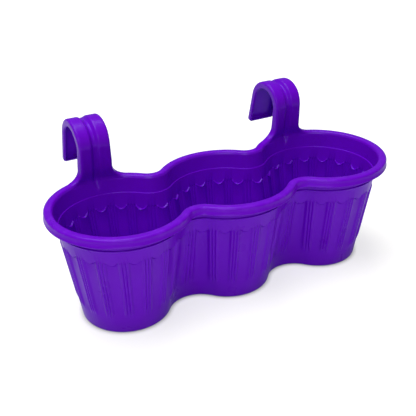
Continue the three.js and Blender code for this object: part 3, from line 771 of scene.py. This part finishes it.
def fluteTree():
    # Sinks the panels, bends their tops into scallops and raises the ribs, on both faces of the wall.
    tree, given = newTree("moulded flutes", {"Float": [
        "Panel Half", "Panel Edge", "Panel Depth", "Panel Hollow", "Panel Top", "Panel Step Half",
        "Scallop Drop", "Scallop Reach", "Groove Depth", "Groove Half",
        "Rib Count", "Rib Height", "Rib Fullness", "Rib Top", "Rib Fade"]})

    def read(name, kind="FLOAT"):
        mark = addNode(tree, "GeometryNodeInputNamedAttribute", {"Name": name}, data_type=kind)
        return mark.outputs["Attribute"]

    # Across the wall: how far each point is from the middle of its panel, in flutes.
    phase = calc(tree, "FRACT", calc(tree, "ADD", read("flute"), 0.5))
    across = calc(tree, "ABSOLUTE", calc(tree, "SUBTRACT", phase, 0.5))
    bandStart = calc(tree, "ADD", given["Panel Half"], given["Panel Edge"])

    # The scallop: the rows near the panel's top bend down, most in the panel's middle.
    onPanel = remap(tree, across, given["Panel Half"], bandStart, 1.0, 0.0)
    bowed = calc(tree, "POWER", calc(tree, "DIVIDE", across, given["Panel Half"]), 2.0)
    smile = calc(tree, "SUBTRACT", 1.0, bowed, use_clamp=True)
    height = read("wallHeight")
    fromTop = calc(tree, "SUBTRACT", height, given["Panel Top"])
    nearTop = calc(tree, "LESS_THAN", calc(tree, "ABSOLUTE", fromTop), given["Scallop Reach"])
    drop = calc(tree, "MULTIPLY", smile, given["Scallop Drop"])
    down = calc(tree, "MULTIPLY", calc(tree, "MULTIPLY", drop, nearTop), -1.0)

    # The panel's depth, dished, with the fine groove under its scallop.
    overStep = calc(tree, "MULTIPLY", given["Panel Step Half"], -1.0)
    belowTop = remap(tree, fromTop, overStep, given["Panel Step Half"], 1.0, 0.0)
    pressed = calc(tree, "MULTIPLY", onPanel, belowTop)
    dished = addNode(tree, "ShaderNodeMix", {"Factor": given["Panel Hollow"], 2: 1.0, 3: smile})
    hollowed = calc(tree, "MULTIPLY", pressed, dished.outputs[0])
    panelSunk = calc(tree, "MULTIPLY", hollowed, given["Panel Depth"])
    offGroove = calc(tree, "ABSOLUTE", calc(tree, "ADD", fromTop, given["Groove Half"]))
    groove = remap(tree, offGroove, 0.0, given["Groove Half"], given["Groove Depth"], 0.0)
    sunk = calc(tree, "ADD", panelSunk, calc(tree, "MULTIPLY", onPanel, groove))

    # The ribs: a wave over the band between two panels, which runs out at the top.
    bandWidth = calc(tree, "MULTIPLY_ADD", bandStart, -2.0, 1.0)
    intoBand = calc(tree, "MAXIMUM", calc(tree, "SUBTRACT", across, bandStart), 0.0)
    ribPhase = calc(tree, "MULTIPLY", calc(tree, "DIVIDE", intoBand, bandWidth), given["Rib Count"])
    wave = calc(tree, "COSINE", calc(tree, "MULTIPLY", ribPhase, 2 * math.pi))
    hump = calc(tree, "MAXIMUM", calc(tree, "MULTIPLY_ADD", wave, -0.5, 0.5), 0.0)
    ridge = calc(tree, "POWER", hump, given["Rib Fullness"])
    underRibTop = calc(tree, "SUBTRACT", given["Rib Top"], height)
    belowRibTop = remap(tree, underRibTop, 0.0, given["Rib Fade"], 0.0, 1.0)
    raised = calc(tree, "MULTIPLY", calc(tree, "MULTIPLY", ridge, belowRibTop), given["Rib Height"])

    # Both together, fading out at the flutes' foot.
    relief = calc(tree, "MULTIPLY", calc(tree, "SUBTRACT", raised, sunk), read("fluted"))
    outwards = addNode(tree, "ShaderNodeVectorMath", {
        0: read("outward", "FLOAT_VECTOR"), "Scale": relief}, operation="SCALE")
    downwards = addNode(tree, "ShaderNodeVectorMath", {
        0: read("upWall", "FLOAT_VECTOR"), "Scale": down}, operation="SCALE")
    offset = addNode(tree, "ShaderNodeVectorMath", {
        0: outwards.outputs["Vector"], 1: downwards.outputs["Vector"]}, operation="ADD")
    moved = addNode(tree, "GeometryNodeSetPosition", {
        "Geometry": given["Geometry"], "Offset": offset.outputs["Vector"]})
    return finishTree(tree, moved.outputs["Geometry"], given["Material"])


def runTree(name, mesh, tree, values):
    # The tree's result becomes a plain mesh, on an object of its own.
    source = addObject(name + "_source", mesh)
    modifier = source.modifiers.new("tree", "NODES")
    modifier.node_group = tree
    for item in tree.interface.items_tree:
        if item.item_type == "SOCKET" and item.in_out == "INPUT" and item.name in values:
            modifier[item.identifier] = values[item.name]
    evaluated = source.evaluated_get(bpy.context.evaluated_depsgraph_get())
    result = bpy.data.meshes.new_from_object(evaluated)
    source.modifiers.remove(modifier)
    bpy.data.objects.remove(source)
    result.name = name
    return addObject(name, result)


bodyMesh = planterBody().toMesh("planter_moulding", bowlAxis)
body = runTree("planter_moulding", bodyMesh, fluteTree(), {
    "Panel Half": flutes["panelHalf"],
    "Panel Edge": flutes["panelEdge"],
    "Panel Depth": flutes["panelDepth"] * mm,
    "Panel Hollow": flutes["panelHollow"],
    "Panel Top": flutes["panelTop"] * mm,
    "Panel Step Half": flutes["panelStepHalf"] * mm,
    "Scallop Drop": flutes["scallopDrop"] * mm,
    "Scallop Reach": flutes["scallopReach"] * mm,
    "Groove Depth": flutes["scallopGroove"] * mm,
    "Groove Half": flutes["scallopGrooveHalf"] * mm,
    "Rib Count": float(flutes["ribCount"]),
    "Rib Height": flutes["ribHeight"] * mm,
    "Rib Fullness": flutes["ribFullness"],
    "Rib Top": flutes["ribTop"] * mm,
    "Rib Fade": flutes["ribFade"] * mm,
    "Material": violetPlastic,
})
body.data.set_sharp_from_angle(angle=math.radians(trough["sharpAngle"]))
print("planter body faces", len(body.data.polygons))
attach(body, "planter")
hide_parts("planter_body")


# Drain grids
print("drain grids")

# The plugs' sizes come first, because each grid leaves room round a plug's flange.
plug = {                        # millimetres
    "flangeLap": 4.0,           # over the floor, all round the hole
    "flangeThickness": 2.0,
    "flangeUnderRounding": 0.4,
    "stemLength": 3.5,
    "stemFillet": 0.3,
    "rounding": 0.8,
    "tabWidth": 12.0,
    "tabHeight": 8.0,
    "tabThickness": 3.0,
    "tabRounding": 0.7,
    "tabRoot": 1.0,             # the tab starts this far down in the flange
    "gap": 0.3,                 # round the stem and under the flange
    "steps": 64,                # round its flange
    "sharpAngle": 35.0,
}
grid = {                        # millimetres
    "clearance": 4.0,           # all round, to the bowl's wall
    "thickness": 2.2,
    "rimDepth": 4.0,
    "rimThickness": 2.2,
    "rounding": 0.5,
    "fingerRoom": 5.0,          # round the plug's flange
    "slotCount": 12,
    "slotWidth": 5.0,
    "slotMargin": 10.0,         # left plain at both ends of a slot
    "legCount": 4,
    "legHeight": 10.0,
    "legRadius": 3.5,
    "legOverlap": 1.0,          # a leg runs this far up into the disc
    "gap": 0.3,                 # between the legs and the floor
    "weld": 0.02,               # points of two sectors this near become one
    "sharpAngle": 35.0,
}
gridUnderside = floorTop + grid["gap"] + grid["legHeight"]
gridRimFoot = gridUnderside + grid["thickness"] - grid["rimDepth"]
gridRadius = trough["endFullness"] * wallLevel(gridRimFoot, -trough["wall"])[0] - grid["clearance"]
flangeRadius = trough["drainHoleRadius"] + plug["flangeLap"]
fingerHole = flangeRadius + grid["fingerRoom"]


def slotOutline(growth):
    half = grid["slotWidth"] / 2 + growth
    outer = gridRadius - grid["slotMargin"] - grid["slotWidth"] / 2
    inner = fingerHole + grid["slotMargin"] + grid["slotWidth"] / 2
    turns = np.linspace(-math.pi / 2, math.pi / 2, 11)
    ends = [(outer + half * math.cos(turn), half * math.sin(turn)) for turn in turns]
    ends += [(inner - half * math.cos(turn), -half * math.sin(turn)) for turn in turns]
    return np.array(ends)


def gridSector():
    # One sector with its slot. Its two straight sides stay open, where the next sectors join on.
    skin = Skin()
    top, soft = grid["thickness"], grid["rounding"]
    middle = edgeMiddle * soft
    low = top - grid["rimDepth"]
    outside, inside, hole = gridRadius, gridRadius - grid["rimThickness"], fingerHole
    turns = np.linspace(-math.pi, math.pi, 13) / grid["slotCount"]

    def arc(radius, height, edge=0.0):
        return skin.addArc(radius, turns, height, edge=edge)

    brim = [arc(inside - soft, 0.0), arc(inside, -soft)]
    brim += [arc(inside, low + soft), arc(inside + soft, low, 1.0)]
    brim += [arc(outside - soft, low, 1.0), arc(outside, low + soft, 1.0), arc(outside, top - soft)]
    brim += [arc(outside - middle, top - middle, 1.0), arc(outside - soft, top, 1.0)]
    bore = [arc(hole + soft, top, 1.0), arc(hole + middle, top - middle, 1.0), arc(hole, top - soft)]
    bore += [arc(hole, soft), arc(hole + soft, 0.0)]
    slot = []
    for growth, height in ((soft, top), (middle, top - middle), (0.0, top - soft), (0.0, soft), (soft, 0.0)):
        slot.append(skin.addLevel(*slotOutline(growth).T, height, edge=float(growth > 0)))
    skin.addRows(brim)
    skin.addRows(bore)
    skin.addRings(slot)
    skin.addCap([*brim[-1], *bore[0][::-1]], [slot[0]], True)
    skin.addCap([*brim[0], *bore[-1][::-1]], [slot[-1]], False)
    return skin


def gridTree():
    # Turns the sector round the middle, joins the copies, stands the disc on legs and sets it in its bowl.
    tree, given = newTree("drain grid", {
        "Int": ["Sector Count", "Leg Count"],
        "Float": ["Leg Reach", "Leg Radius", "Leg Height", "Leg Overlap", "Weld"],
        "Vector": ["Place"]})
    index = addNode(tree, "GeometryNodeInputIndex").outputs["Index"]

    def turned(geometry, count):
        points = addNode(tree, "GeometryNodePoints", {"Count": count})
        turn = calc(tree, "MULTIPLY", calc(tree, "DIVIDE", 2 * math.pi, count), index)
        rotation = addNode(tree, "ShaderNodeCombineXYZ", {"Z": turn})
        return addNode(tree, "GeometryNodeInstanceOnPoints", {
            "Points": points.outputs[0], "Instance": geometry, "Rotation": rotation.outputs["Vector"]})

    length = calc(tree, "ADD", given["Leg Height"], given["Leg Overlap"])
    leg = addNode(tree, "GeometryNodeMeshCone", {
        "Vertices": 32, "Radius Top": given["Leg Radius"], "Radius Bottom": given["Leg Radius"],
        "Depth": length})
    foot = calc(tree, "MULTIPLY", given["Leg Height"], -1.0)
    legPlace = addNode(tree, "ShaderNodeCombineXYZ", {"X": given["Leg Reach"], "Z": foot})
    standing = addNode(tree, "GeometryNodeTransform", {
        "Geometry": leg.outputs["Mesh"], "Translation": legPlace.outputs["Vector"]})
    disc = addNode(tree, "GeometryNodeRealizeInstances", {
        "Geometry": turned(given["Geometry"], given["Sector Count"]).outputs["Instances"]})
    welded = addNode(tree, "GeometryNodeMergeByDistance", {
        "Geometry": disc.outputs["Geometry"], "Distance": given["Weld"]})
    legs = turned(standing.outputs["Geometry"], given["Leg Count"])
    both = addNode(tree, "GeometryNodeJoinGeometry", {"Geometry": welded.outputs["Geometry"]})
    tree.links.new(legs.outputs["Instances"], both.inputs["Geometry"])
    placed = addNode(tree, "GeometryNodeTransform", {
        "Geometry": both.outputs["Geometry"], "Translation": given["Place"]})
    return finishTree(tree, placed.outputs["Geometry"], given["Material"])


sector = gridSector().toMesh("grid_sector", np.zeros(3))
gridNodes = gridTree()
legReach = (2 * gridRadius - grid["slotMargin"] - grid["rimThickness"]) / 2
for number, bowl in enumerate(bowlNames):
    place = Vector(bowlAxis) + Vector(((number - 1) * spacing, 0.0, gridUnderside)) * mm
    piece = runTree("moulded_grid_" + bowl, sector, gridNodes, {
        "Sector Count": grid["slotCount"],
        "Leg Count": grid["legCount"],
        "Leg Reach": legReach * mm,
        "Leg Radius": grid["legRadius"] * mm,
        "Leg Height": grid["legHeight"] * mm,
        "Leg Overlap": grid["legOverlap"] * mm,
        "Weld": grid["weld"] * mm,
        "Place": place,
        "Material": gridPlastic,
    })
    piece.data.set_sharp_from_angle(angle=math.radians(grid["sharpAngle"]))
    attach(piece, "grid_" + bowl)
    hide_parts("drain_grid_" + bowl)
print("grid faces", len(piece.data.polygons))


# Drain plugs
print("drain plugs")


def turnedProfile(skin, profile):
    # Spins a profile that runs from underneath outwards and up. A flat face closes each end.
    turns = np.arange(plug["steps"]) / plug["steps"] * 2 * math.pi
    rings = [skin.addArc(radius, turns, height, edge=edge) for radius, height, edge in profile]
    skin.addRings(rings)
    skin.addCap(rings[0], [], False)
    skin.addCap(rings[-1], [], True)


def tabOutline(inset):
    half = plug["tabWidth"] / 2 - inset
    base = plug["flangeThickness"] - plug["tabRoot"]
    centre = base + plug["tabHeight"] - plug["tabWidth"] / 2
    turns = np.linspace(0, math.pi, 25)
    return [(-half, base), (half, base), *[(half * math.cos(t), centre + half * math.sin(t)) for t in turns]]


def drainPlug():
    # The stem and flange are one turned solid, and the pull tab stands in it as a second one.
    skin = Skin()
    soft, length, top = plug["rounding"], plug["stemLength"], plug["flangeThickness"]
    middle = edgeMiddle * soft
    stem, flange = trough["drainHoleRadius"] - plug["gap"], flangeRadius
    fillet, under = plug["stemFillet"], plug["flangeUnderRounding"]
    turnedProfile(skin, [
        (stem - soft, -length, 1.0),
        (stem - middle, middle - length, 1.0),
        (stem, soft - length, 0.5),
        (stem, -fillet, 0.0),
        (stem + fillet, 0.0, 0.0),
        (flange - under, 0.0, 0.5),
        (flange, under, 1.0),
        (flange, top - soft, 1.0),
        (flange - middle, top - middle, 1.0),
        (flange - soft, top, 1.0),
        (flange - 3 * soft, top, 0.0),
    ])
    half, soft = plug["tabThickness"] / 2, plug["tabRounding"]
    middle = edgeMiddle * soft
    frontHalf = [(soft, half), (middle, half - middle), (0.0, half - soft)]
    rings = []
    for inset, y in [*frontHalf, *[(inset, -y) for inset, y in frontHalf[::-1]]]:
        rings.append(skin.addPoints([(x, y, z) for x, z in tabOutline(inset)], edge=float(inset > 0)))
    skin.addRings(rings)
    skin.faces += [rings[-1].tolist(), rings[0][::-1].tolist()]
    return skin


plugSkin = drainPlug()
for number, bowl in enumerate(bowlNames):
    place = bowlAxis + np.array([(number - 1) * spacing, 0.0, floorTop + plug["gap"]]) * mm
    mesh = plugSkin.toMesh("vinyl_plug_" + bowl, place)
    mesh.shade_smooth()
    mesh.set_sharp_from_angle(angle=math.radians(plug["sharpAngle"]))
    mesh.materials.append(plugPlastic)
    piece = addObject(mesh.name, mesh)
    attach(piece, "plug_" + bowl)
    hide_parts("drain_plug_" + bowl)


# Stage
print("camera, floor and light")

view = {
    "azimuth": -28.61,          # degrees from straight in front, so the camera stands to the left
    "elevation": 27.20,
    "roll": -1.09,
    "distance": 1.1345,         # metres
    "target": (-0.0382, 0.0044, 0.1400),
    "lens": 60.3,
    "shift": (0.0075, -0.0043),
}
stage = {
    "floorColour": "#FAFAFA",
    "floorSize": 12.0,          # metres
    "seenColour": "#BEBEB8",    # the camera sees the floor exposed to white: less shade, and a glow on top
    "nearGlow": 0.66,
    "farGlow": 0.90,
    "glowStart": 0.3,           # metres from the middle
    "glowEnd": 1.2,
    "paintedShadowReach": 0.008,      # metres round the base over which the glow is darkened: a painted contact shadow
    "worldStrength": 0.22,
    "lampTarget": (0.0, 0.0, 0.12),
}
lamps = {                       # place and size in metres, and watts
    "overhead softbox": ((-0.6, 0.4, 4.0), (3.6, 2.8), 165.0),
    "front softbox": ((-0.9, -1.8, 1.5), (1.0, 0.8), 14.0),
}


def addCamera():
    azimuth = math.radians(view["azimuth"])
    elevation = math.radians(view["elevation"])
    level = math.cos(elevation)
    back = Vector((math.sin(azimuth) * level, -math.cos(azimuth) * level, math.sin(elevation)))
    camera = addObject("camera", bpy.data.cameras.new("camera"))
    camera.data.lens = view["lens"]
    camera.data.sensor_width = 36.0
    camera.data.shift_x, camera.data.shift_y = view["shift"]
    camera.data.clip_end = 50.0
    camera.location = Vector(view["target"]) + Vector(bowlAxis) + back * view["distance"]
    camera.rotation_euler = back.to_track_quat("Z", "Y").to_euler()
    camera.rotation_euler.rotate_axis("Z", math.radians(view["roll"]))
    bpy.context.scene.camera = camera


def addSweep():
    # A white paper floor. The camera sees it brighter than it lights the planter, with the lamps' shadow kept
    # and a painted contact shadow darkening its glow round the base.
    mesh = bpy.data.meshes.new("floor")
    half = stage["floorSize"] / 2
    corners = [(-half, -half, 0), (half, -half, 0), (half, half, 0), (-half, half, 0)]
    mesh.from_pydata(corners, [], [(0, 1, 2, 3)])
    floor = addObject("floor", mesh)
    material = bpy.data.materials.new("white studio sweep")
    tree = emptyTree(material)
    paper = addNode(tree, "ShaderNodeBsdfDiffuse", {"Color": linearColour(stage["floorColour"])})
    place = addNode(tree, "ShaderNodeTexCoord").outputs["Object"]
    reach = addNode(tree, "ShaderNodeVectorMath", {0: place}, operation="LENGTH").outputs["Value"]
    strength = remap(tree, reach, stage["glowStart"], stage["glowEnd"], stage["nearGlow"], stage["farGlow"])
    # Painted contact shadow: ambient occlusion darkens the glow where the base stands.
    paintedContactShade = addNode(tree, "ShaderNodeAmbientOcclusion", {"Distance": stage["paintedShadowReach"]}, samples=8)
    glowWithPaintedShadow = calc(tree, "MULTIPLY", strength, paintedContactShade.outputs["AO"])
    glow = addNode(tree, "ShaderNodeEmission", {"Strength": glowWithPaintedShadow})
    seenPaper = addNode(tree, "ShaderNodeBsdfDiffuse", {"Color": linearColour(stage["seenColour"])})
    bright = addNode(tree, "ShaderNodeAddShader", {0: seenPaper.outputs["BSDF"], 1: glow.outputs["Emission"]})
    rays = addNode(tree, "ShaderNodeLightPath")
    seen = addNode(tree, "ShaderNodeMixShader", {
        0: rays.outputs["Is Camera Ray"], 1: paper.outputs["BSDF"], 2: bright.outputs["Shader"]})
    addNode(tree, "ShaderNodeOutputMaterial", {"Surface": seen.outputs["Shader"]})
    mesh.materials.append(material)


def addWorld():
    # Dim and even all round, and plain white where the camera looks past the floor.
    world = bpy.data.worlds.new("studio")
    tree = emptyTree(world)
    lit = addNode(tree, "ShaderNodeBackground", {"Strength": stage["worldStrength"]})
    seen = addNode(tree, "ShaderNodeBackground", {"Color": (1.0, 1.0, 1.0, 1.0), "Strength": 1.0})
    rays = addNode(tree, "ShaderNodeLightPath")
    background = addNode(tree, "ShaderNodeMixShader", {
        0: rays.outputs["Is Camera Ray"], 1: lit.outputs["Background"], 2: seen.outputs["Background"]})
    addNode(tree, "ShaderNodeOutputWorld", {"Surface": background.outputs["Shader"]})
    bpy.context.scene.world = world


def addLamp(name, position, size, watts):
    lamp = addObject(name, bpy.data.lights.new(name, "AREA"))
    lamp.data.shape = "RECTANGLE"
    lamp.data.size, lamp.data.size_y = size
    lamp.data.energy = watts
    lamp.location = position
    towards = Vector(stage["lampTarget"]) - Vector(position)
    lamp.rotation_euler = towards.to_track_quat("-Z", "Y").to_euler()


addCamera()
addSweep()
addWorld()
for name, (position, size, watts) in lamps.items():
    addLamp(name, position, size, watts)
bpy.context.scene.view_settings.view_transform = "Standard"
